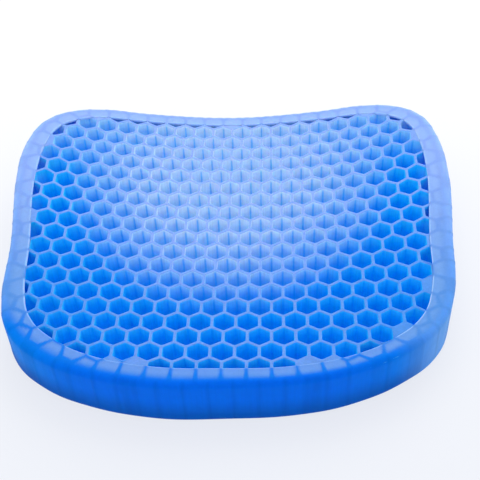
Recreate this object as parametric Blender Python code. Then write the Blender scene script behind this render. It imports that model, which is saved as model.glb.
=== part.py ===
"""Honeycomb gel seat cushion.

One soft pad of clear elastomer, shaped in three regions: an upright skirt wall that the pad
stands on, a thin shoulder skin that rolls over its top edge, and the field of open hexagonal
cells that carries the sitter. The seat surface is dished: lowest along the middle and at the
back, higher at the front edge and along both sides, highest at the two back corners.

Frame: origin at the middle of the footprint on the resting plane, +X to the sitter's right,
+Y to the back of the seat, +Z up. The front edge is the convex one, towards -Y.
"""
import math

import bmesh
import bpy
from mathutils import Vector

# Cells: regular hexagons with a point to the front and the back, in rows along X.
CELL_PITCH = 0.0195
CELL_WALL = 0.0026
ROW_PITCH = CELL_PITCH * math.sqrt(3) / 2
MIDDLE_ROW_Y = -0.0063
ROWS_EACH_WAY = 10
CELLS_EACH_WAY = 11
SMALLEST_CELL = 0.30

# Seat surface: height of the lowest point, and its rises at REACH from the middle.
SEAT_LOW = 0.0330
REACH = 0.195
SIDE_RISE = 0.0164
END_RISE = 0.0083
CORNER_RISE = 0.0151
FRONT_RISE = 0.0090
SEAT_MIDDLE_Y = -0.0017

# Rim: skirt wall and shoulder skin.
SKIRT_WALL = 0.0024
SHOULDER_SKIN = 0.0024
SHOULDER_RADIUS = 0.0060
SHOULDER_WIDTH = 0.0165
EDGE_BAND = 0.0012
FOOT_CHAMFER = 0.0012
GAP = 0.0003
SIDE_GAP = 0.0006
STATIONS = 104

# Right half of the plan outline, from the middle of the front edge to the middle of the back.
HALF_OUTLINE = [
    (0.0000, -0.1758), (0.0605, -0.1733), (0.1092, -0.1616), (0.1463, -0.1425),
    (0.1745, -0.1158), (0.1876, -0.0836), (0.1940, -0.0173), (0.2003, 0.0685),
    (0.1966, 0.1114), (0.1872, 0.1397), (0.1677, 0.1602), (0.1385, 0.1728),
    (0.0878, 0.1758), (0.0000, 0.1750),
]


def clear_scene():
    for obj in list(bpy.data.objects):
        bpy.data.objects.remove(obj, do_unlink=True)


def new_collection(name):
    collection = bpy.data.collections.new(name)
    bpy.context.scene.collection.children.link(collection)
    return collection


def gel(name, red, green, blue, roughness):
    """Clear soft elastomer, tinted in the mass."""
    material = bpy.data.materials.new(name)
    material.use_nodes = True
    shader = material.node_tree.nodes["Principled BSDF"]
    shader.inputs["Base Color"].default_value = (red, green, blue, 1.0)
    shader.inputs["Roughness"].default_value = roughness
    shader.inputs["Metallic"].default_value = 0.0
    material.diffuse_color = (red, green, blue, 1.0)
    return material


def seat_height(x, y):
    """Height of the dished seat surface over the resting plane."""
    u = x / REACH
    v = (y - SEAT_MIDDLE_Y) / REACH
    rise = SIDE_RISE * u ** 2 + END_RISE * v ** 2 + CORNER_RISE * u ** 2 * v
    return SEAT_LOW + rise - FRONT_RISE * v ** 3


def mesh_from_curve(curve, name):
    """Evaluate a curve to a plain mesh, weld its caps, and remove the curve."""
    obj = bpy.data.objects.new(name, curve)
    bpy.context.scene.collection.objects.link(obj)
    graph = bpy.context.evaluated_depsgraph_get()
    mesh = bpy.data.meshes.new_from_object(obj.evaluated_get(graph))
    bpy.data.objects.remove(obj, do_unlink=True)
    bpy.data.curves.remove(curve)
    work = bmesh.new()
    work.from_mesh(mesh)
    bmesh.ops.remove_doubles(work, verts=work.verts, dist=0.00002)
    work.to_mesh(mesh)
    work.free()
    mesh.name = name
    return mesh


def smooth_outline():
    """The plan outline as a smooth closed curve, read off at equal steps."""
    left = [(-x, y) for x, y in reversed(HALF_OUTLINE[1:-1])]
    corners = HALF_OUTLINE + left
    curve = bpy.data.curves.new("outline", "CURVE")
    curve.dimensions = "2D"
    curve.fill_mode = "NONE"
    curve.resolution_u = 24
    spline = curve.splines.new("BEZIER")
    spline.bezier_points.add(len(corners) - 1)
    for point, (x, y) in zip(spline.bezier_points, corners):
        point.co = (x, y, 0.0)
        point.handle_left_type = "AUTO"
        point.handle_right_type = "AUTO"
    spline.use_cyclic_u = True
    mesh = mesh_from_curve(curve, "outline")
    dense = [vertex.co.copy() for vertex in mesh.vertices]
    bpy.data.meshes.remove(mesh)
    return equal_steps(dense, STATIONS)


def equal_steps(points, count):
    loop = points + [points[0]]
    lengths = [(b - a).length for a, b in zip(loop, loop[1:])]
    step = sum(lengths) / count
    result = []
    travelled = 0.0
    wanted = 0.0
    for a, b, length in zip(loop, loop[1:], lengths):
        while wanted < travelled + length - 1e-9 and len(result) < count:
            result.append(a.lerp(b, (wanted - travelled) / length))
            wanted += step
        travelled += length
    return result


def inward_normals(points):
    normals = []
    count = len(points)
    for i in range(count):
        along = points[(i + 1) % count] - points[i - 1]
        normals.append(Vector((-along.y, along.x, 0.0)).normalized())
    return normals


def inset(points, normals, distance):
    return [point + normal * distance for point, normal in zip(points, normals)]


def clip_convex(polygon, window):
    """The part of a polygon inside a convex window, both listed anticlockwise."""
    result = list(polygon)
    for a, b in zip(window, window[1:] + window[:1]):
        edge = b - a
        source = result
        result = []
        for p, q in zip(source, source[1:] + source[:1]):
            side_p = edge.x * (p.y - a.y) - edge.y * (p.x - a.x)
            side_q = edge.x * (q.y - a.y) - edge.y * (q.x - a.x)
            if side_p >= 0.0:
                result.append(p)
            if (side_p >= 0.0) != (side_q >= 0.0):
                result.append(p.lerp(q, side_p / (side_p - side_q)))
        if len(result) < 3:
            return []
    return without_short_edges(result)


def without_short_edges(polygon):
    kept = []
    for point in polygon:
        if not kept or (point - kept[-1]).length > 0.0007:
            kept.append(point)
    if len(kept) > 2 and (kept[0] - kept[-1]).length < 0.0007:
        kept.pop()
    return kept


def area(polygon):
    total = 0.0
    for p, q in zip(polygon, polygon[1:] + polygon[:1]):
        total += p.x * q.y - q.x * p.y
    return total / 2


def cell_openings(window):
    """Every cell of the field, cut off where it would run into the skirt."""
    corner = (CELL_PITCH - CELL_WALL) / 2 / math.cos(math.pi / 6)
    full = 1.5 * math.sqrt(3) * corner ** 2
    cells = []
    for row in range(-ROWS_EACH_WAY, ROWS_EACH_WAY + 1):
        y = MIDDLE_ROW_Y + row * ROW_PITCH
        for column in range(-CELLS_EACH_WAY, CELLS_EACH_WAY + 1):
            x = (column + 0.5 * (row % 2)) * CELL_PITCH
            hexagon = []
            for k in range(6):
                angle = math.radians(60 * k + 30)
                hexagon.append(Vector((x + corner * math.cos(angle), y + corner * math.sin(angle), 0)))
            cell = clip_convex(hexagon, window)
            if len(cell) > 2 and area(cell) > SMALLEST_CELL * full:
                cells.append(cell)
    return cells


def flat_outline(curve, points):
    spline = curve.splines.new("POLY")
    spline.points.add(len(points) - 1)
    for target, point in zip(spline.points, points):
        target.co = (point.x, point.y, 0.0, 1.0)
    spline.use_cyclic_u = True


def upright_mesh(name, outlines, foot, top):
    """A flat region bounded by outlines, drawn up from the height foot to the rule top(x, y)."""
    curve = bpy.data.curves.new(name, "CURVE")
    curve.dimensions = "2D"
    curve.fill_mode = "BOTH"
    curve.extrude = 0.01
    for points in outlines:
        flat_outline(curve, points)
    mesh = mesh_from_curve(curve, name)
    for vertex in mesh.vertices:
        is_top = vertex.co.z > 0.0
        vertex.co.z = top(vertex.co.x, vertex.co.y) if is_top else foot
    return mesh


def under_seat(down):
    """A height rule: so far under the seat surface."""
    return lambda x, y: seat_height(x, y) - down


def level(height):
    """A height rule: so far over the resting plane."""
    return lambda x, y: height


def corner_arc(radius):
    """Steps round the shoulder's corner, from its outer side up to its top."""
    arc = []
    for k in range(5):
        angle = math.radians(90 * k / 4)
        across = SHOULDER_RADIUS - radius * math.cos(angle)
        down = SHOULDER_RADIUS - radius * math.sin(angle)
        arc.append((across, under_seat(down)))
    return arc


def ring_mesh(name, points, normals, profile):
    """A closed ring: a profile of steps carried round the outline.

    A step is the distance in from the outline and a rule for the height there.
    """
    work = bmesh.new()
    loop = [work.verts.new(point) for point in points]
    first = []
    for a, b in zip(loop, loop[1:] + loop[:1]):
        first.append(work.edges.new((a, b)))
    place_loop(loop, points, normals, profile[0])
    edges = first
    for step in profile[1:]:
        grown = bmesh.ops.extrude_edge_only(work, edges=edges)["geom"]
        edges = [item for item in grown if isinstance(item, bmesh.types.BMEdge)]
        loop = next_loop(loop, grown)
        place_loop(loop, points, normals, step)
        edges = [edge for edge in edges if edge.verts[0] in loop and edge.verts[1] in loop]
    bmesh.ops.bridge_loops(work, edges=first + edges)
    bmesh.ops.recalc_face_normals(work, faces=work.faces)
    mesh = bpy.data.meshes.new(name)
    work.to_mesh(mesh)
    work.free()
    return mesh


def next_loop(loop, grown):
    """The new vertices in the same order as the loop that they were drawn from."""
    fresh = {item for item in grown if isinstance(item, bmesh.types.BMVert)}
    ordered = []
    for vertex in loop:
        for edge in vertex.link_edges:
            other = edge.other_vert(vertex)
            if other in fresh:
                ordered.append(other)
                break
    return ordered


def place_loop(loop, points, normals, step):
    across, height = step
    for vertex, point, normal in zip(loop, points, normals):
        spot = point + normal * across
        vertex.co = (spot.x, spot.y, height(spot.x, spot.y))


def add_part(mesh, name, material, collection):
    obj = bpy.data.objects.new(name, mesh)
    mesh.name = name
    mesh.materials.clear()
    mesh.materials.append(material)
    collection.objects.link(obj)
    return obj


def make_skirt_wall(points, normals, material, collection):
    """The upright outer wall, from the resting plane to where the shoulder starts."""
    top = under_seat(SHOULDER_RADIUS + GAP)
    profile = [
        (FOOT_CHAMFER, level(0.0)),
        (0.0, level(FOOT_CHAMFER)),
        (0.0, top),
        (SKIRT_WALL, top),
        (SKIRT_WALL, level(0.0)),
    ]
    mesh = ring_mesh("skirt_wall", points, normals, profile)
    return add_part(mesh, "skirt_wall", material, collection)


def make_shoulder_skin(points, normals, material, collection):
    """The thin skin that rolls over the top edge and covers the outermost pockets."""
    lip = SHOULDER_SKIN / 3
    profile = corner_arc(SHOULDER_RADIUS)
    profile.append((SHOULDER_WIDTH - lip, under_seat(0.0)))
    profile.append((SHOULDER_WIDTH, under_seat(lip)))
    profile.append((SHOULDER_WIDTH, under_seat(SHOULDER_SKIN)))
    profile += reversed(corner_arc(SHOULDER_RADIUS - SHOULDER_SKIN))
    mesh = ring_mesh("shoulder_skin", points, normals, profile)
    return add_part(mesh, "shoulder_skin", material, collection)


def make_skin_space(points, normals, collection):
    """Cutter: the room that the shoulder skin takes out of the top of the cells."""
    depth = SHOULDER_SKIN + GAP
    width = SHOULDER_WIDTH + GAP
    bottom = under_seat(SHOULDER_RADIUS + GAP)
    above = under_seat(-0.004)
    profile = [(-0.004, bottom), (SKIRT_WALL / 2, bottom)]
    profile += corner_arc(SHOULDER_RADIUS - depth)
    profile += [(width, under_seat(depth)), (width, above), (-0.004, above)]
    mesh = ring_mesh("skin_space", points, normals, profile)
    cutter = bpy.data.objects.new("skin_space", mesh)
    collection.objects.link(cutter)
    cutter.hide_render = True
    cutter.display_type = "WIRE"
    return cutter


def make_seat_honeycomb(points, normals, cutter, material, collection):
    """The walls between the cells, all one web from edge to edge, open above and below."""
    edge = inset(points, normals, SKIRT_WALL + SIDE_GAP)
    window = inset(points, normals, SKIRT_WALL + SIDE_GAP + EDGE_BAND)
    cells = cell_openings(window)
    outlines = [edge] + [list(reversed(cell)) for cell in cells]
    mesh = upright_mesh("seat_honeycomb", outlines, 0.0, seat_height)
    honeycomb = add_part(mesh, "seat_honeycomb", material, collection)
    cut = honeycomb.modifiers.new("skin_space", "BOOLEAN")
    cut.operation = "DIFFERENCE"
    cut.solver = "EXACT"
    cut.object = cutter
    print("cells:", len(cells))
    return honeycomb


def main():
    clear_scene()
    parts = new_collection("honeycomb_seat_cushion")
    cutters = new_collection("cutters")
    points = smooth_outline()
    normals = inward_normals(points)
    wall_gel = gel("gel_wall", 0.004, 0.107, 0.700, 0.28)
    skin_gel = gel("gel_skin", 0.130, 0.350, 0.830, 0.35)
    cell_gel = gel("gel_cells", 0.020, 0.200, 0.800, 0.30)
    make_skirt_wall(points, normals, wall_gel, parts)
    make_shoulder_skin(points, normals, skin_gel, parts)
    cutter = make_skin_space(points, normals, cutters)
    make_seat_honeycomb(points, normals, cutter, cell_gel, parts)


main()
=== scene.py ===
# %% [markdown]
# # A honeycomb gel seat cushion
# The real pad is one moulding of clear blue elastomer. Hundreds of hexagonal cells stand
# side by side and open upwards, an upright skirt goes round them, and a thin skin rolls from
# the skirt over the outermost cells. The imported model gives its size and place; this file
# makes the fine surface round it. Everything is in metres, with the resting plane at zero.

# %% Load the fixed frame
import math

import bmesh
import bpy
import numpy as np
from mathutils import Euler, Matrix, Vector


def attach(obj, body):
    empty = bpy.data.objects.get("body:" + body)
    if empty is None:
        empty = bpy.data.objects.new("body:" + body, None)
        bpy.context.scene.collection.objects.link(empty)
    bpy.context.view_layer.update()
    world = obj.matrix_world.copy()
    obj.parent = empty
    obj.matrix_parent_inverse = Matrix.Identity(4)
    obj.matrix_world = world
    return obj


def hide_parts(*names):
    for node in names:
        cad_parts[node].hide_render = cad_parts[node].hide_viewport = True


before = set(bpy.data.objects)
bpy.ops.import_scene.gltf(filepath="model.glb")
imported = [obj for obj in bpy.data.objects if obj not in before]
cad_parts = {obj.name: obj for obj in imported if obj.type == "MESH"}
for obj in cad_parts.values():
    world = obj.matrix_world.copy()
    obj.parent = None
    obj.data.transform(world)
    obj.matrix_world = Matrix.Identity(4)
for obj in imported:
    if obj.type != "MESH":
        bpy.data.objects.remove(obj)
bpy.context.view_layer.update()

# %% [markdown]
# ## The sizes that everything else follows
# A honeycomb is fully described by the distance between cell centres and the wall between
# two cells. Rows lie along X, half a cell apart from each other, so they are closer than the
# cells in a row by the height of an equal-sided triangle.

# %% Cell and rim sizes
CELL_PITCH = 0.0195
CELL_WALL = 0.0026
ROW_PITCH = CELL_PITCH * math.sqrt(3) / 2
MIDDLE_ROW_Y = -0.0063
SKIN = 0.0024
SHOULDER_RADIUS = 0.0060
SHOULDER_WIDTH = 0.0165
LIP_RADIUS = 0.0009
print("rows are", round(ROW_PITCH * 1000, 2), "mm apart")

# %% [markdown]
# ## The dished seat surface
# The mould's top face is a smooth dish: low along the middle and in the middle of the back,
# higher at the front and along both sides, highest at the back corners. A short polynomial in
# the two plan directions says this in one line, and every piece can ask it for the height
# above any point.

# %% Seat surface rule
REACH = 0.195
SEAT_MIDDLE_Y = -0.0017


def seat_height(x, y):
    u = x / REACH
    v = (y - SEAT_MIDDLE_Y) / REACH
    return 0.0330 + 0.0164 * u ** 2 + 0.0083 * v ** 2 + 0.0151 * u ** 2 * v - 0.0090 * v ** 3


print("dish", round(seat_height(0, 0.05) * 1000, 1), "mm high")
print("side", round(seat_height(0.19, 0) * 1000, 1), "mm high")

# %% [markdown]
# ## The outline
# The plan shape is drawn as a designer would draw it: a few points on the right half,
# mirrored, with a smooth curve through them. Reading the curve off at equal steps gives
# evenly sized faces later, and the direction across the outline at each step tells a profile
# which way is inwards.

# %% Outline points
HALF_OUTLINE = [
    (0.0000, -0.1758), (0.0605, -0.1733), (0.1092, -0.1616), (0.1463, -0.1425),
    (0.1745, -0.1158), (0.1876, -0.0836), (0.1940, -0.0173), (0.2003, 0.0685),
    (0.1966, 0.1114), (0.1872, 0.1397), (0.1677, 0.1602), (0.1385, 0.1728),
    (0.0878, 0.1758), (0.0000, 0.1750),
]


def smooth_outline(steps):
    corners = HALF_OUTLINE + [(-x, y) for x, y in reversed(HALF_OUTLINE[1:-1])]
    curve = bpy.data.curves.new("outline", "CURVE")
    curve.dimensions = "2D"
    curve.fill_mode = "NONE"
    curve.resolution_u = 40
    spline = curve.splines.new("BEZIER")
    spline.bezier_points.add(len(corners) - 1)
    for point, (x, y) in zip(spline.bezier_points, corners):
        point.co = (x, y, 0.0)
        point.handle_left_type = point.handle_right_type = "AUTO"
    spline.use_cyclic_u = True
    guide = bpy.data.objects.new("outline", curve)
    bpy.context.scene.collection.objects.link(guide)
    graph = bpy.context.evaluated_depsgraph_get()
    mesh = bpy.data.meshes.new_from_object(guide.evaluated_get(graph))
    dense = np.array([vertex.co.xy[:] for vertex in mesh.vertices])
    bpy.data.objects.remove(guide, do_unlink=True)
    bpy.data.curves.remove(curve)
    bpy.data.meshes.remove(mesh)
    closed = np.vstack([dense, dense[:1]])
    travelled = np.concatenate([[0.0], np.cumsum(np.linalg.norm(np.diff(closed, axis=0), axis=1))])
    wanted = np.linspace(0.0, travelled[-1], steps, endpoint=False)
    return np.stack([np.interp(wanted, travelled, closed[:, k]) for k in (0, 1)], axis=1)


def inward_directions(points):
    along = np.roll(points, -1, axis=0) - np.roll(points, 1, axis=0)
    inward = np.stack([-along[:, 1], along[:, 0]], axis=1)
    return inward / np.linalg.norm(inward, axis=1)[:, None]


outline = smooth_outline(840)
inward = inward_directions(outline)
print("outline", len(outline), "steps, width", round(float(np.ptp(outline[:, 0])) * 1000, 1), "mm")


# %% Distance in from the outline
def distance_in(x, y):
    return float(np.sqrt(np.min((outline[:, 0] - x) ** 2 + (outline[:, 1] - y) ** 2)))


print("middle of the seat is", round(distance_in(0, 0) * 1000), "mm in")

# %% [markdown]
# A gel pad is never quite true. The right-hand side and the front left-hand corner of this
# one stand a few millimetres proud of the outline, the front edge and the back left-hand
# corner a little less, and the left side and the front right-hand corner are drawn in by
# about a millimetre. The skin also reaches further over the cells on the left. Each is a low
# hill or hollow, with its place, how far it reaches and how high it is.

# %% Where the pad is fuller
BULGES = [
    (0.196, 0.010, 0.125, 0.0044),
    (-0.155, -0.136, 0.062, 0.0048),
    (-0.040, -0.176, 0.065, 0.0024),
    (0.135, -0.150, 0.045, -0.0012),
    (-0.197, 0.095, 0.050, 0.0028),
    (-0.193, -0.045, 0.045, -0.0013),
]
WIDER_SKIN = [(-0.190, -0.062, 0.065, 0.0030)]


def hills(places, x, y):
    total = 0.0
    for hill_x, hill_y, reach, rise in places:
        total += rise * math.exp(-((x - hill_x) ** 2 + (y - hill_y) ** 2) / reach ** 2)
    return total


def skin_width(x, y):
    return SHOULDER_WIDTH + hills(WIDER_SKIN, x, y)


def smooth_step(low, high, value):
    t = min(1.0, max(0.0, (value - low) / (high - low)))
    return t * t * (3 - 2 * t)


print("right side stands", round(hills(BULGES, 0.196, 0) * 1000, 1), "mm proud")

# %% [markdown]
# ## The web of cell walls
# The walls are made the way the mould's pins make them, by taking cells away from a solid
# sheet. Six-sided tiles are laid side by side and merged into one sheet, the sheet is cut
# along the outline, and each tile is inset by half a wall. Removing the inset faces leaves
# only the web between the cells.

# %% Lay the tiles
TILE_RADIUS = CELL_PITCH / math.sqrt(3)
ROWS_EACH_WAY = 11
CELLS_EACH_WAY = 11


def tile_centres():
    for row in range(-ROWS_EACH_WAY, ROWS_EACH_WAY + 1):
        y = MIDDLE_ROW_Y + row * ROW_PITCH
        for column in range(-CELLS_EACH_WAY, CELLS_EACH_WAY + 1):
            yield (column + 0.5 * (row % 2)) * CELL_PITCH, y


web = bmesh.new()
for x, y in tile_centres():
    place = Matrix.Translation((x, y, 0))
    bmesh.ops.create_circle(web, cap_ends=True, segments=6, radius=TILE_RADIUS, matrix=place)
bmesh.ops.remove_doubles(web, verts=web.verts, dist=0.0002)
print("tiles", len(web.faces))

# %% Cut the sheet along the outline
TRIM_IN = 0.0014

for (x, y), (across_x, across_y) in zip(outline[::8], inward[::8]):
    cut_at = Vector((x + across_x * TRIM_IN, y + across_y * TRIM_IN, 0))
    geometry = web.verts[:] + web.edges[:] + web.faces[:]
    bmesh.ops.bisect_plane(web, geom=geometry, dist=1e-6, plane_co=cut_at,
                           plane_no=(-across_x, -across_y, 0), clear_outer=True)
bmesh.ops.remove_doubles(web, verts=web.verts, dist=0.0004)
print("tiles inside the skirt", len(web.faces))

# %% Open the cells
SMALLEST_OPENING = 0.0024
LEAST_SHARE_SEEN = 0.17
SMALLEST_SEEN = LEAST_SHARE_SEEN * CELL_PITCH * ROW_PITCH
LIDS_BY_HAND = [(-0.0683, -0.1583), (0.0683, -0.1583), (0.146, -0.125), (0.176, -0.074)]
LID_REACH = CELL_PITCH / 3


def room_in(face):
    """Twice the area over the edge length: the radius of a circle that about fits."""
    return 2 * face.calc_area() / face.calc_perimeter()


def seen_area(face):
    """The part of a tile that the shoulder's skin leaves uncovered."""
    middle = face.calc_center_median()
    shares = (0.25, 0.5, 0.75, 0.95)
    spots = [middle.lerp(vertex.co, share) for vertex in face.verts for share in shares]
    clear = sum(distance_in(spot.x, spot.y) > skin_width(spot.x, spot.y) for spot in spots)
    return face.calc_area() * clear / len(spots)


def has_lid(face):
    x, y, _ = face.calc_center_median()
    by_hand = any(math.hypot(x - lid_x, y - lid_y) < LID_REACH for lid_x, lid_y in LIDS_BY_HAND)
    return by_hand or 0.0 < seen_area(face) < SMALLEST_SEEN


wide_enough = [face for face in web.faces if room_in(face) > CELL_WALL / 2 + SMALLEST_OPENING]
lidded = [face for face in wide_enough if has_lid(face)]
bmesh.ops.inset_individual(web, faces=wide_enough, thickness=CELL_WALL / 2, depth=0.0,
                           use_even_offset=True)
through = [face for face in wide_enough if face not in lidded]
bmesh.ops.delete(web, geom=through, context="FACES")
print("open cells", len(through), "and pockets with a lid", len(lidded))

# %% [markdown]
# The flat web gets a thickness, and then the two roundings that a mould always leaves: a
# fillet down every corner inside a cell, and a small round on every top and bottom edge.
# Both are bevels, made while the slab is still flat and its edges are easy to tell apart.
# Where the shoulder would leave only a sliver of a cell open, the mould closes it with a lid,
# and so it does with four more cells at the front. There the foot face is pushed up to make a
# pocket that opens downwards.

# %% Give the web its thickness and fillets
SLAB = 0.02
CORNER_FILLET = 0.0008
EDGE_ROUND = 0.0006
SEEN_FROM = SHOULDER_WIDTH - 0.0070


def only(items, kind):
    """The vertices, or the edges, among what an operator hands back."""
    return [item for item in items if isinstance(item, kind)]


for face in web.faces:
    if face.normal.z < 0.0:
        face.normal_flip()
foot_faces = web.faces[:]
raised = bmesh.ops.extrude_face_region(web, geom=foot_faces, use_keep_orig=True)["geom"]
bmesh.ops.translate(web, verts=only(raised, bmesh.types.BMVert), vec=(0, 0, SLAB))
pockets = bmesh.ops.extrude_face_region(web, geom=lidded)["geom"]
roof = only(pockets, bmesh.types.BMVert)
bmesh.ops.delete(web, geom=lidded, context="FACES_ONLY")
bmesh.ops.translate(web, verts=roof, vec=(0, 0, SLAB - SKIN))
bmesh.ops.recalc_face_normals(web, faces=web.faces)
web.normal_update()


def is_upright(edge):
    a, b = edge.verts
    return abs(a.co.z - b.co.z) > SLAB / 2


def cell_corner(edge):
    """An upright edge of an open cell, between two walls that are wide enough for a fillet."""
    if not is_upright(edge) or distance_in(*edge.verts[0].co.xy) < SEEN_FROM:
        return False
    widths = []
    for face in edge.link_faces:
        widths.append(max(side.calc_length() for side in face.edges if not is_upright(side)))
    return min(widths) > 3 * CORNER_FILLET


corners = [edge for edge in web.edges if cell_corner(edge)]
ROUNDING = {"offset_type": "OFFSET", "affect": "EDGES", "segments": 2, "profile": 0.5,
            "material": -1, "clamp_overlap": True}
bmesh.ops.bevel(web, geom=corners, offset=CORNER_FILLET, **ROUNDING)
web.normal_update()


def open_edges(work):
    return sum(len(edge.link_faces) != 2 for edge in work.edges)


def on_a_rim(edge):
    middle = (edge.verts[0].co + edge.verts[1].co) / 2
    if len(edge.link_faces) != 2 or distance_in(middle.x, middle.y) < SEEN_FROM:
        return False
    levels = sorted(abs(face.normal.z) for face in edge.link_faces)
    return levels[0] < 0.3 and levels[1] > 0.7


rims = [edge for edge in web.edges if on_a_rim(edge)]
bmesh.ops.bevel(web, geom=rims, offset=EDGE_ROUND, **ROUNDING)
print("web faces", len(web.faces), "open edges", open_edges(web))

# %% [markdown]
# Now the slab is stretched into place. Its lower skin goes to the resting plane and its
# upper skin to the seat surface. Under the shoulder it stops just below the outside of the
# skin, where the real walls run into it.

# %% Raise the web to the seat surface
RUN_IN = 0.0012


def web_top(x, y):
    inside = distance_in(x, y)
    if inside > skin_width(x, y) + 0.001:
        return seat_height(x, y)
    left = max(0.0, SHOULDER_RADIUS - inside)
    round_off = SHOULDER_RADIUS - math.sqrt(max(0.0, SHOULDER_RADIUS ** 2 - left ** 2))
    return seat_height(x, y) - round_off - RUN_IN


for vertex in web.verts:
    x, y, z = vertex.co
    if z > SLAB / 2:
        vertex.co.z = web_top(x, y) + z - SLAB
print("web height", round(max(vertex.co.z for vertex in web.verts) * 1000, 1), "mm")


# %% Turn a bmesh into a piece
def finished_piece(work, name, replaced):
    mesh = bpy.data.meshes.new(name)
    bmesh.ops.triangulate(work, faces=[face for face in work.faces if len(face.verts) > 4])
    work.to_mesh(mesh)
    work.free()
    mesh.shade_smooth()
    mesh.set_sharp_from_angle(angle=math.radians(50))
    piece = bpy.data.objects.new(name, mesh)
    bpy.context.scene.collection.objects.link(piece)
    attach(piece, "root")
    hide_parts(replaced[0], *replaced[1:])
    print(name, len(mesh.polygons), "faces")
    return piece


# Painted light: a pool of paler colour on the cell walls, centred on the back of the dish.
LIGHT_POOL_MIDDLE = 0.088
LIGHT_POOL_HALF_WIDTH = 0.159
LIGHT_POOL_HALF_LENGTH = 0.185


def painted_light_pool(x, y):
    """Painted light: one in the middle of the dish's back, falling to nothing near the sides and the
    front.
    """
    sideways = x / LIGHT_POOL_HALF_WIDTH
    lengthways = (y - LIGHT_POOL_MIDDLE) / LIGHT_POOL_HALF_LENGTH
    height = max(0.0, 1 - sideways ** 2 - lengthways ** 2)
    return (height + smooth_step(0.0, 1.0, height)) / 2


for name, rule in (("seat_z", seat_height), ("from_edge", distance_in), ("painted_light_pool", painted_light_pool)):
    layer = web.verts.layers.float.new(name)
    for vertex in web.verts:
        vertex[layer] = rule(vertex.co.x, vertex.co.y)
bmesh.ops.recalc_face_normals(web, faces=web.faces)
cell_web = finished_piece(web, "cell_web", ["seat_honeycomb"])

# %% [markdown]
# ## Skirt and shoulder
# The rim is one continuous wall: up the outside, over the rounded shoulder, along the top
# skin to its lip, and back underneath. It is drawn by extruding a loop of edges along the
# profile, one step at a time, and bridging the last loop to the first, which is how a
# sweep with a changing height can be made from plain operators.


# %% Height rules for the profile
def level(height):
    return lambda x, y: height


def under_seat(down):
    return lambda x, y: seat_height(x, y) - down


FOOT_ROUND = 0.0012


def up_the_skirt(share):
    """A share of the way from the foot to where the shoulder starts."""
    return lambda x, y: FOOT_ROUND + share * (seat_height(x, y) - SHOULDER_RADIUS - FOOT_ROUND)


def corner_arc(radius, count):
    """Steps round the shoulder, from upright to level."""
    arc = []
    for k in range(count + 1):
        angle = math.radians(90 * k / count)
        across = SHOULDER_RADIUS - radius * math.cos(angle)
        arc.append((across, under_seat(SHOULDER_RADIUS - radius * math.sin(angle))))
    return arc


# %% The rim's profile
SKIRT_STEPS = 14
TOP_STEPS = 7
LIP_STEPS = 3

outside = [(FOOT_ROUND, level(0.0)), (0.00035, level(0.00035))]
outside += [(0.0, up_the_skirt(k / SKIRT_STEPS)) for k in range(SKIRT_STEPS)]
outside += corner_arc(SHOULDER_RADIUS, 6)
top_end = SHOULDER_WIDTH - LIP_RADIUS
for k in range(1, TOP_STEPS + 1):
    outside.append((SHOULDER_RADIUS + (top_end - SHOULDER_RADIUS) * k / TOP_STEPS, under_seat(0.0)))
for k in range(1, LIP_STEPS + 1):
    turn = math.radians(90 * k / LIP_STEPS)
    down = LIP_RADIUS * (1 - math.cos(turn))
    outside.append((top_end + LIP_RADIUS * math.sin(turn), under_seat(down)))
inside = [(SHOULDER_WIDTH - 0.0003, under_seat(SKIN))]
inside += [(SHOULDER_WIDTH / 2 + SHOULDER_RADIUS / 2, under_seat(SKIN))]
inside += reversed(corner_arc(SHOULDER_RADIUS - SKIN, 3))
inside += [(0.0024, level(0.0))]
print("profile steps", len(outside) + len(inside))

# %% [markdown]
# The skin sinks a little over each covered pocket as the gel cools and shrinks, and stands
# up where a wall holds it. The same happens on the skirt. The distance to the nearest cell
# wall is simple to find in a hexagonal grid. It drives the sinking here and, later, the
# painted light and shade of the skin: paler panes over the pockets, darker ribs over the
# walls. Along the middle of the front the last walls run straight out to the skirt.


# %% Distance to the nearest cell wall
def to_cell_wall(x, y):
    """From zero on the middle line of a wall to half a pitch in the middle of a cell."""
    best = None
    for shift_x, shift_y in ((0.0, 0.0), (CELL_PITCH / 2, ROW_PITCH)):
        ax = (x - shift_x + CELL_PITCH / 2) % CELL_PITCH - CELL_PITCH / 2
        ay = (y - MIDDLE_ROW_Y - shift_y + ROW_PITCH) % (2 * ROW_PITCH) - ROW_PITCH
        reach = ax * ax + ay * ay
        if best is None or reach < best[0]:
            best = (reach, abs(ax), abs(ay))
    _, ax, ay = best
    return CELL_PITCH / 2 - max(ax, ax / 2 + ay * math.sqrt(3) / 2)


print("middle of a cell", round(to_cell_wall(0, MIDDLE_ROW_Y) * 1000, 2), "mm from its walls")

# %% Pockets under the skin
RIBS_FROM = 0.0145
LATTICE_FROM = 0.0045
RIB = 0.0004
RIB_FADES = 0.0024


def ribs_run_straight(x, y):
    return (1 - smooth_step(0.085, 0.125, abs(x))) * (1 - smooth_step(-0.10, 0.0, y))


def covered_pocket(point, direction, across):
    """One over the middle of a covered pocket, zero over a wall, at a distance in from a point."""
    straight = ribs_run_straight(*point)
    ring_from = RIBS_FROM * straight + LATTICE_FROM * (1 - straight)
    ring_place = point + direction * max(across, ring_from)
    skirt_place = point + direction * LATTICE_FROM
    on_ring = smooth_step(RIB, RIB_FADES, to_cell_wall(*ring_place))
    on_skirt = smooth_step(RIB, RIB_FADES, to_cell_wall(*skirt_place))
    share = smooth_step(0.002, 0.006, across)
    return on_skirt * (1 - share) + on_ring * share


print("ribs run straight at the front", ribs_run_straight(0, -0.17))

# %% Sweep the profile round the outline
rim = bmesh.new()
pocket_layer = rim.verts.layers.float.new("pocket")
edge_layer = rim.verts.layers.float.new("from_edge")
first_verts = [rim.verts.new((x, y, 0)) for x, y in outline]
first_edges = [rim.edges.new(pair) for pair in zip(first_verts, first_verts[1:] + first_verts[:1])]


BULGES_FADE = 0.012


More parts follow.
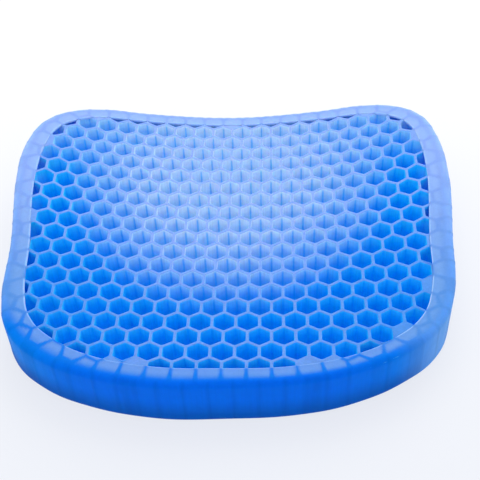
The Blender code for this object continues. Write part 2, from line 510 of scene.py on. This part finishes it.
def place_loop(verts, step, is_outside):
    across, height = step
    past_corner = max(0.0, across - SHOULDER_RADIUS) / (SHOULDER_WIDTH - SHOULDER_RADIUS)
    fuller = 1 - smooth_step(0.0, BULGES_FADE, across) if is_outside else 0.0
    for vertex, point, direction in zip(verts, outline, inward):
        x, y = point + direction * (across + past_corner * hills(WIDER_SKIN, *point))
        z = height(x, y)
        x, y = (x, y) - direction * fuller * hills(BULGES, *point)
        vertex.co = (x, y, z)
        vertex[pocket_layer] = covered_pocket(point, direction, across)
        vertex[edge_layer] = across


def grown_loop(work, verts, edges):
    """Extrude a closed loop and return the new vertices in the old order."""
    made = bmesh.ops.extrude_edge_only(work, edges=edges)["geom"]
    fresh = set(only(made, bmesh.types.BMVert))
    new_verts = []
    for vertex in verts:
        beyond = (edge.other_vert(vertex) for edge in vertex.link_edges)
        new_verts.append(next(other for other in beyond if other in fresh))
    new_edges = [edge for edge in only(made, bmesh.types.BMEdge) if fresh.issuperset(edge.verts)]
    return new_verts, new_edges


place_loop(first_verts, outside[0], True)
verts, edges = first_verts, first_edges
outer_verts = list(verts)
for number, step in enumerate(outside[1:] + inside, start=1):
    verts, edges = grown_loop(rim, verts, edges)
    place_loop(verts, step, number < len(outside))
    if number < len(outside):
        outer_verts += verts
bmesh.ops.bridge_loops(rim, edges=first_edges + edges)
bmesh.ops.recalc_face_normals(rim, faces=rim.faces)
print("rim faces", len(rim.faces), "open edges", open_edges(rim))

# %% Sink the skin over the pockets
SINK = 0.00025
FOOT_STAYS = 0.004
LIP_STAYS = 0.0012

rim.normal_update()
sunk = []
for vertex in outer_verts:
    if vertex.co.z > FOOT_STAYS and vertex[edge_layer] < SHOULDER_WIDTH - LIP_STAYS:
        sunk.append((vertex, vertex.normal * -SINK * vertex[pocket_layer]))
for vertex, shift in sunk:
    vertex.co += shift
print("deepest sink", round(max(shift.length for vertex, shift in sunk) * 1000, 2), "mm")
gel_rim = finished_piece(rim, "skirt_and_shoulder", ["skirt_wall", "shoulder_skin"])

# %% [markdown]
# ## Colour and a node helper
# Colours are written as the hex values a designer would use on screen, and turned to the
# linear values that light is worked out in by one function. One more function adds a node
# with its settings and links, and hands back the socket that the next node reads.


# %% Colour and node helpers
def linear(hex_colour):
    shown = [int(hex_colour[k:k + 2], 16) / 255 for k in (1, 3, 5)]
    lit = [c / 12.92 if c <= 0.04045 else ((c + 0.055) / 1.055) ** 2.4 for c in shown]
    return (*lit, 1.0)


def add_node(tree, kind, inputs=(), output=0, **settings):
    """Add a node. Inputs are values or sockets, in order or by key. Returns one output socket."""
    node = tree.nodes.new(kind)
    for name, value in settings.items():
        setattr(node, name, value)
    for key, value in (inputs.items() if isinstance(inputs, dict) else enumerate(inputs)):
        if isinstance(value, bpy.types.NodeSocket):
            tree.links.new(value, node.inputs[key])
        else:
            node.inputs[key].default_value = value
    return node.outputs[output]


MATH = "ShaderNodeMath"
RANGE = "ShaderNodeMapRange"
MIX = "ShaderNodeMix"
ATTRIBUTE = "ShaderNodeAttribute"
SMOOTH = {"interpolation_type": "SMOOTHSTEP"}
COLOURS = {"output": 2, "data_type": "RGBA"}
print("deep gel blue is", [round(v, 3) for v in linear("#0068E9")])

# %% [markdown]
# ## The gel
# The pad is an oil-softened styrene block copolymer, tinted in the mass and pressed in a
# satin mould. Light goes a few millimetres into it, red is soon lost and blue comes back out;
# subsurface scattering gives that. On top of it the base colour holds painted light and shade
# that follow how deep a point lies in its cell: pale near the top, a strong blue further down.
# A sandblasted mould leaves a fine grain, 0.8 mm across here so that it can be seen, and
# the oil in the gel clouds it a little over some 6 mm. Pulling the pad off the mould's pins
# draws faint upright streaks, a millimetre or so wide and 30 mm long.

# %% A new gel material
GRAIN = 0.0008
CLOUD = 0.006
STREAK = 0.0014
STREAK_LENGTH = 0.030


def gel_material(name, roughness):
    material = bpy.data.materials.new(name)
    material.use_nodes = True
    tree = material.node_tree
    shader = tree.nodes["Principled BSDF"]
    shader.inputs["IOR"].default_value = 1.48
    shader.inputs["Specular IOR Level"].default_value = 0.02
    shader.inputs["Subsurface Weight"].default_value = 0.6
    shader.inputs["Subsurface Radius"].default_value = (0.25, 0.6, 1.0)
    shader.inputs["Subsurface Scale"].default_value = 0.003
    place = add_node(tree, "ShaderNodeTexCoord", output="Object")
    grain = add_node(tree, "ShaderNodeTexNoise", {"Vector": place, "Scale": 1 / GRAIN, "Detail": 2.0})
    bump = add_node(tree, "ShaderNodeBump", {"Height": grain, "Strength": 0.35, "Distance": 0.0001})
    tree.links.new(bump, shader.inputs["Normal"])
    gloss = add_node(tree, RANGE, (grain, 0.3, 0.7, roughness - 0.08, roughness + 0.08))
    tree.links.new(gloss, shader.inputs["Roughness"])
    return material, tree, shader, place


def clouded(tree, place, colour, darkest, lightest):
    """The colour, a little lighter and darker in soft clouds."""
    cloud = add_node(tree, "ShaderNodeTexNoise", {"Vector": place, "Scale": 1 / CLOUD, "Detail": 3.0})
    stretch = (1 / STREAK, 1 / STREAK, 1 / STREAK_LENGTH)
    drawn = add_node(tree, "ShaderNodeMapping", {"Vector": place, "Scale": stretch})
    streak = add_node(tree, "ShaderNodeTexNoise", {"Vector": drawn, "Scale": 1.0, "Detail": 1.0})
    uneven = add_node(tree, MATH, (cloud, streak), operation="ADD")
    lightness = add_node(tree, RANGE, (uneven, 0.7, 1.3, darkest, lightest))
    return add_node(tree, "ShaderNodeHueSaturation", {"Value": lightness, "Color": colour})


# %% [markdown]
# In the front and the back corner of each cell a third wall stands behind, so the gel is
# thick there; the corner is painted as a fine blue line of painted shade down the pale walls.
# The line is found from the hexagonal grid: half a row from the middle of the cell's own row,
# and on the middle of its column.


# %% The thick corners where three walls meet, drawn as painted shade
def corner_line(tree, place):
    x = add_node(tree, "ShaderNodeSeparateXYZ", (place,), output="X")
    y = add_node(tree, MATH, (x.node.outputs["Y"], MIDDLE_ROW_Y), operation="SUBTRACT")
    row = add_node(tree, MATH, (y, ROW_PITCH), operation="DIVIDE")
    row_part = add_node(tree, MATH, (row,), operation="FRACT")
    in_lower_half = add_node(tree, MATH, (row_part, 0.5), operation="LESS_THAN")
    row_floor = add_node(tree, MATH, (row,), operation="FLOOR")
    own_row = add_node(tree, MATH, (row_floor, in_lower_half), operation="ADD")
    column = add_node(tree, MATH, (x, CELL_PITCH), operation="DIVIDE")
    shifted = add_node(tree, MATH, (own_row, -0.5, column), operation="MULTIPLY_ADD")
    from_column = add_node(tree, MATH, (shifted, 0.5), operation="PINGPONG")
    from_corner = add_node(tree, MATH, (row_part, 0.5), operation="SUBTRACT")
    from_corner = add_node(tree, MATH, (from_corner,), operation="ABSOLUTE")
    across = add_node(tree, RANGE, (from_column, 0.020, 0.065, 1.0, 0.0), **SMOOTH)
    along = add_node(tree, RANGE, (from_corner, 0.12, 0.16, 1.0, 0.0), **SMOOTH)
    return add_node(tree, MATH, (across, along), operation="MULTIPLY")


# %% Cell walls
cell_gel, tree, shader, place = gel_material("moulded_tpe_gel_cells", 0.50)
x = add_node(tree, "ShaderNodeSeparateXYZ", (place,), output="X")
y, z = x.node.outputs["Y"], x.node.outputs["Z"]
seat_z = add_node(tree, ATTRIBUTE, output="Fac", attribute_name="seat_z")
from_edge = add_node(tree, ATTRIBUTE, output="Fac", attribute_name="from_edge")
# Painted light: the walls are paler in a pool at the middle of the dish's back and out to the back
# corners.
painted_paleness = add_node(tree, ATTRIBUTE, output="Fac", attribute_name="painted_light_pool")
off_centre = add_node(tree, MATH, (x,), operation="ABSOLUTE")
aside = add_node(tree, RANGE, (off_centre, 0.04, 0.17, 0.0, 1.0), **SMOOTH)
at_back = add_node(tree, RANGE, (y, 0.07, 0.14, 0.0, 0.30), **SMOOTH)
to_corner = add_node(tree, RANGE, (off_centre, 0.08, 0.16, 0.0, 1.0), **SMOOTH)
painted_paleness = add_node(tree, MATH, (at_back, to_corner, painted_paleness), operation="MULTIPLY_ADD")
# How far below the seat surface a point lies; it drives the painted light and shade of the walls below.
depth = add_node(tree, MATH, (seat_z, z), operation="SUBTRACT")
down = add_node(tree, RANGE, (depth, 0.002, 0.018, 0.0, 1.0), **SMOOTH)
frontwards = add_node(tree, RANGE, (y, -0.060, 0.080, 1.0, 0.0), **SMOOTH)
# Painted light: walls of the cells next to the skin are painted a lighter blue below their tops.
painted_light_near_skin = add_node(tree, RANGE, (from_edge, 0.012, 0.027, 0.8, 0.0), **SMOOTH)
below_top = add_node(tree, RANGE, (depth, 0.001, 0.009, 0.0, 1.0), **SMOOTH)
painted_light_near_skin = add_node(tree, MATH, (painted_light_near_skin, below_top), operation="MULTIPLY")

deep_top = add_node(tree, MIX, {0: frontwards, 6: linear("#00B8F6"), 7: linear("#00B0F6")}, **COLOURS)
deep = add_node(tree, MIX, {0: down, 6: deep_top, 7: linear("#00BEF7")}, **COLOURS)
near_skin_light_colour = add_node(tree, MIX, {0: frontwards, 6: linear("#70C8FE"), 7: linear("#00CCFE")}, **COLOURS)
deep = add_node(tree, MIX, {0: painted_light_near_skin, 6: deep, 7: near_skin_light_colour}, **COLOURS)
painted_pale_colour = add_node(tree, MIX, {0: down, 6: linear("#C4DEF6"), 7: linear("#D7E8FA")}, **COLOURS)

# Painted shade: a fine deeper-blue line down the corners where three walls meet, a little below the
# top.
line = add_node(tree, MATH, (corner_line(tree, place), 0.6), operation="MULTIPLY")
off_the_top = add_node(tree, RANGE, (depth, 0.001, 0.004, 0.0, 1.0))
line = add_node(tree, MATH, (line, off_the_top), operation="MULTIPLY")
outside_corner_shade = add_node(tree, MATH, (1.0, line), operation="SUBTRACT")
# Painted light and shade: the walls are pale near their top edge and a deeper blue further down, paler
# still in the painted pool of light.
painted_light = add_node(tree, RANGE, (depth, 0.0005, 0.0160, 0.30, -0.16))
in_light_pool = add_node(tree, RANGE, (painted_paleness, 0.0, 0.25, 0.12, 1.0), **SMOOTH)
painted_light = add_node(tree, MATH, (painted_light, in_light_pool, painted_paleness), operation="MULTIPLY_ADD")
painted_light = add_node(tree, MATH, (painted_light, outside_corner_shade), operation="MULTIPLY")
wall_colour = add_node(tree, MIX, {0: painted_light, 6: deep, 7: painted_pale_colour}, **COLOURS)

# Painted sheen: the wall tops are paler than the walls, more so towards the back and in the middle.
towards_back = add_node(tree, RANGE, (y, -0.120, 0.060, 0.0, 0.6), **SMOOTH)
painted_sheen_on_top = add_node(tree, MATH, (painted_paleness, 0.4, towards_back), operation="MULTIPLY_ADD")
top_front = add_node(tree, MIX, {0: aside, 6: linear("#6691D7"), 7: linear("#4A8AD6")}, **COLOURS)
top_colour = add_node(tree, MIX, {0: painted_sheen_on_top, 6: top_front, 7: linear("#88A4E6")}, **COLOURS)
facing = add_node(tree, "ShaderNodeNewGeometry", output="Normal")
facing_up = add_node(tree, "ShaderNodeSeparateXYZ", (facing,), output="Z")
on_top = add_node(tree, RANGE, (facing_up, 0.25, 0.75, 0.0, 1.0), **SMOOTH)
surface_colour = add_node(tree, MIX, {0: on_top, 6: wall_colour, 7: top_colour}, **COLOURS)
tree.links.new(clouded(tree, place, surface_colour, 0.92, 1.06), shader.inputs["Base Color"])
cell_web.data.materials.append(cell_gel)
print(cell_gel.name, len(tree.nodes), "nodes")

# %% [markdown]
# The rim is the same gel seen from outside, with light and shade painted into its colour.
# The front, away from the lamp, is painted a deep blue that darkens to the foot, painted
# shade; the sides and back are painted paler, painted light. The skin over each covered
# pocket is a paler pane of painted light between two darker ribs, with a painted highlight
# along its thin lip.

# %% Rim
rim_gel, tree, shader, place = gel_material("moulded_tpe_gel_rim", 0.46)
x = add_node(tree, "ShaderNodeSeparateXYZ", (place,), output="X")
y, z = x.node.outputs["Y"], x.node.outputs["Z"]
pocket = add_node(tree, ATTRIBUTE, output="Fac", attribute_name="pocket")
from_edge = add_node(tree, ATTRIBUTE, output="Fac", attribute_name="from_edge")
along = add_node(tree, MATH, (x, 0.10, y), operation="MULTIPLY_ADD")
sidewards = add_node(tree, RANGE, (along, -0.136, -0.100, 0.0, 1.0), **SMOOTH)
cornerwards = add_node(tree, RANGE, (y, -0.172, -0.135, 0.0, 1.0), **SMOOTH)
backwards = add_node(tree, RANGE, (y, -0.110, 0.090, 0.0, 1.0), **SMOOTH)
upwards = add_node(tree, RANGE, (z, 0.0, 0.028, 0.0, 1.0), **SMOOTH)
on_shoulder = add_node(tree, RANGE, (from_edge, 0.0025, 0.0080, 0.0, 1.0), **SMOOTH)
# Painted light: the skin over each covered pocket is a paler pane, fading towards the skirt, with a
# painted highlight along the lip.
pane_reach = add_node(tree, MATH, (pocket, 0.0040, from_edge), operation="MULTIPLY_ADD")
pane = add_node(tree, RANGE, (pane_reach, 0.0080, 0.0150, 0.0, 1.0), **SMOOTH)
pane = add_node(tree, MATH, (pane, pocket), operation="MULTIPLY")
at_lip = add_node(tree, RANGE, (from_edge, 0.0150, 0.0163, 0.0, 1.0), **SMOOTH)
at_lip = add_node(tree, MATH, (at_lip, pocket), operation="MULTIPLY")

# Painted light and shade: the skirt is a deep blue at the front, darkening to the foot, and paler along
# the sides and back.
front_top = add_node(tree, MIX, {0: cornerwards, 6: linear("#0064DE"), 7: linear("#0074DC")}, **COLOURS)
front = add_node(tree, MIX, {0: upwards, 6: linear("#0050AC"), 7: front_top}, **COLOURS)
side = add_node(tree, MIX, {0: backwards, 6: linear("#5590DC"), 7: linear("#8AABEA")}, **COLOURS)
skirt = add_node(tree, MIX, {0: sidewards, 6: front, 7: side}, **COLOURS)
# Painted shade: the skirt is a little darker over each rib behind it.
rib_shade = add_node(tree, RANGE, (pocket, 0.0, 1.0, 0.90, 1.0))
skirt = add_node(tree, "ShaderNodeHueSaturation", {"Value": rib_shade, "Color": skirt})
side = add_node(tree, MIX, {0: backwards, 6: linear("#5088CE"), 7: linear("#7E9CDE")}, **COLOURS)
rib = add_node(tree, MIX, {0: sidewards, 6: linear("#0C70D6"), 7: side}, **COLOURS)
side = add_node(tree, MIX, {0: backwards, 6: linear("#6494D2"), 7: linear("#8AA9E2")}, **COLOURS)
pane_colour = add_node(tree, MIX, {0: sidewards, 6: linear("#608ED4"), 7: side}, **COLOURS)
lip_highlight_colour = add_node(tree, MIX, {0: sidewards, 6: linear("#7AA5E4"), 7: linear("#9CBCEC")}, **COLOURS)
skin = add_node(tree, MIX, {0: pane, 6: rib, 7: pane_colour}, **COLOURS)
skin = add_node(tree, MIX, {0: at_lip, 6: skin, 7: lip_highlight_colour}, **COLOURS)
surface_colour = add_node(tree, MIX, {0: on_shoulder, 6: skirt, 7: skin}, **COLOURS)
tree.links.new(clouded(tree, place, surface_colour, 0.96, 1.03), shader.inputs["Base Color"])
gel_rim.data.materials.append(rim_gel)
print(rim_gel.name, len(tree.nodes), "nodes")

# %% [markdown]
# ## Floor, light and camera
# A white table top that glows as painted light, a little brighter towards the back, so that
# the pad's shadow on it stays faint, and a bright even sky round it, as in a light tent, with
# one broad lamp behind and above the pad.

# %% Floor
floor_work = bmesh.new()
bmesh.ops.create_grid(floor_work, x_segments=1, y_segments=1, size=4.0)
floor_mesh = bpy.data.meshes.new("table_top")
floor_work.to_mesh(floor_mesh)
floor_work.free()
floor = bpy.data.objects.new("table_top", floor_mesh)
bpy.context.scene.collection.objects.link(floor)
paint = bpy.data.materials.new("glowing_white_laminate")
paint.use_nodes = True
tree = paint.node_tree
shader = tree.nodes["Principled BSDF"]
shader.inputs["Base Color"].default_value = linear("#747579")
shader.inputs["Roughness"].default_value = 0.8
shader.inputs["Specular IOR Level"].default_value = 0.1
# Painted light: the table top glows, brighter towards the back, which washes out the pad's shadow.
shader.inputs["Emission Strength"].default_value = 0.80
place = add_node(tree, "ShaderNodeTexCoord", output="Object")
y = add_node(tree, "ShaderNodeSeparateXYZ", (place,), output="Y")
far = add_node(tree, RANGE, (y, -0.40, 0.55, 0.0, 1.0), **SMOOTH)
painted_light = add_node(tree, MIX, {0: far, 6: linear("#E9ECF2"), 7: linear("#FFFFFF")}, **COLOURS)
tree.links.new(painted_light, shader.inputs["Emission Color"])
floor_mesh.materials.append(paint)
print("floor ready")

# %% Light
# The light has to bounce many times to reach the foot of a deep cell.
scene = bpy.context.scene
world = bpy.data.worlds.new("light_tent")
world.use_nodes = True
world.node_tree.nodes["Background"].inputs["Color"].default_value = linear("#FCFDFF")
world.node_tree.nodes["Background"].inputs["Strength"].default_value = 1.09
scene.world = world
scene.view_settings.view_transform = "Standard"
scene.cycles.diffuse_bounces = 24
scene.cycles.max_bounces = 28


def soft_lamp(name, place, aim, size, watts):
    lamp = bpy.data.lights.new(name, "AREA")
    lamp.shape = "SQUARE"
    lamp.size = size
    lamp.energy = watts
    holder = bpy.data.objects.new(name, lamp)
    holder.location = place
    holder.rotation_euler = (Vector(aim) - Vector(place)).to_track_quat("-Z", "Y").to_euler()
    scene.collection.objects.link(holder)
    print(name, watts, "W")


soft_lamp("back_softbox", (0.25, 1.1, 1.3), (0, 0.05, 0), 1.2, 11.5)

# %% Camera
view = bpy.data.cameras.new("camera")
view.lens = 68.42
view.sensor_width = 36.0
viewer = bpy.data.objects.new("camera", view)
viewer.location = (0.04356, -0.58974, 0.60872)
viewer.rotation_euler = Euler([math.radians(turn) for turn in (45.262, 1.972, 1.261)], "XYZ")
scene.collection.objects.link(viewer)
scene.camera = viewer
print("camera ready")
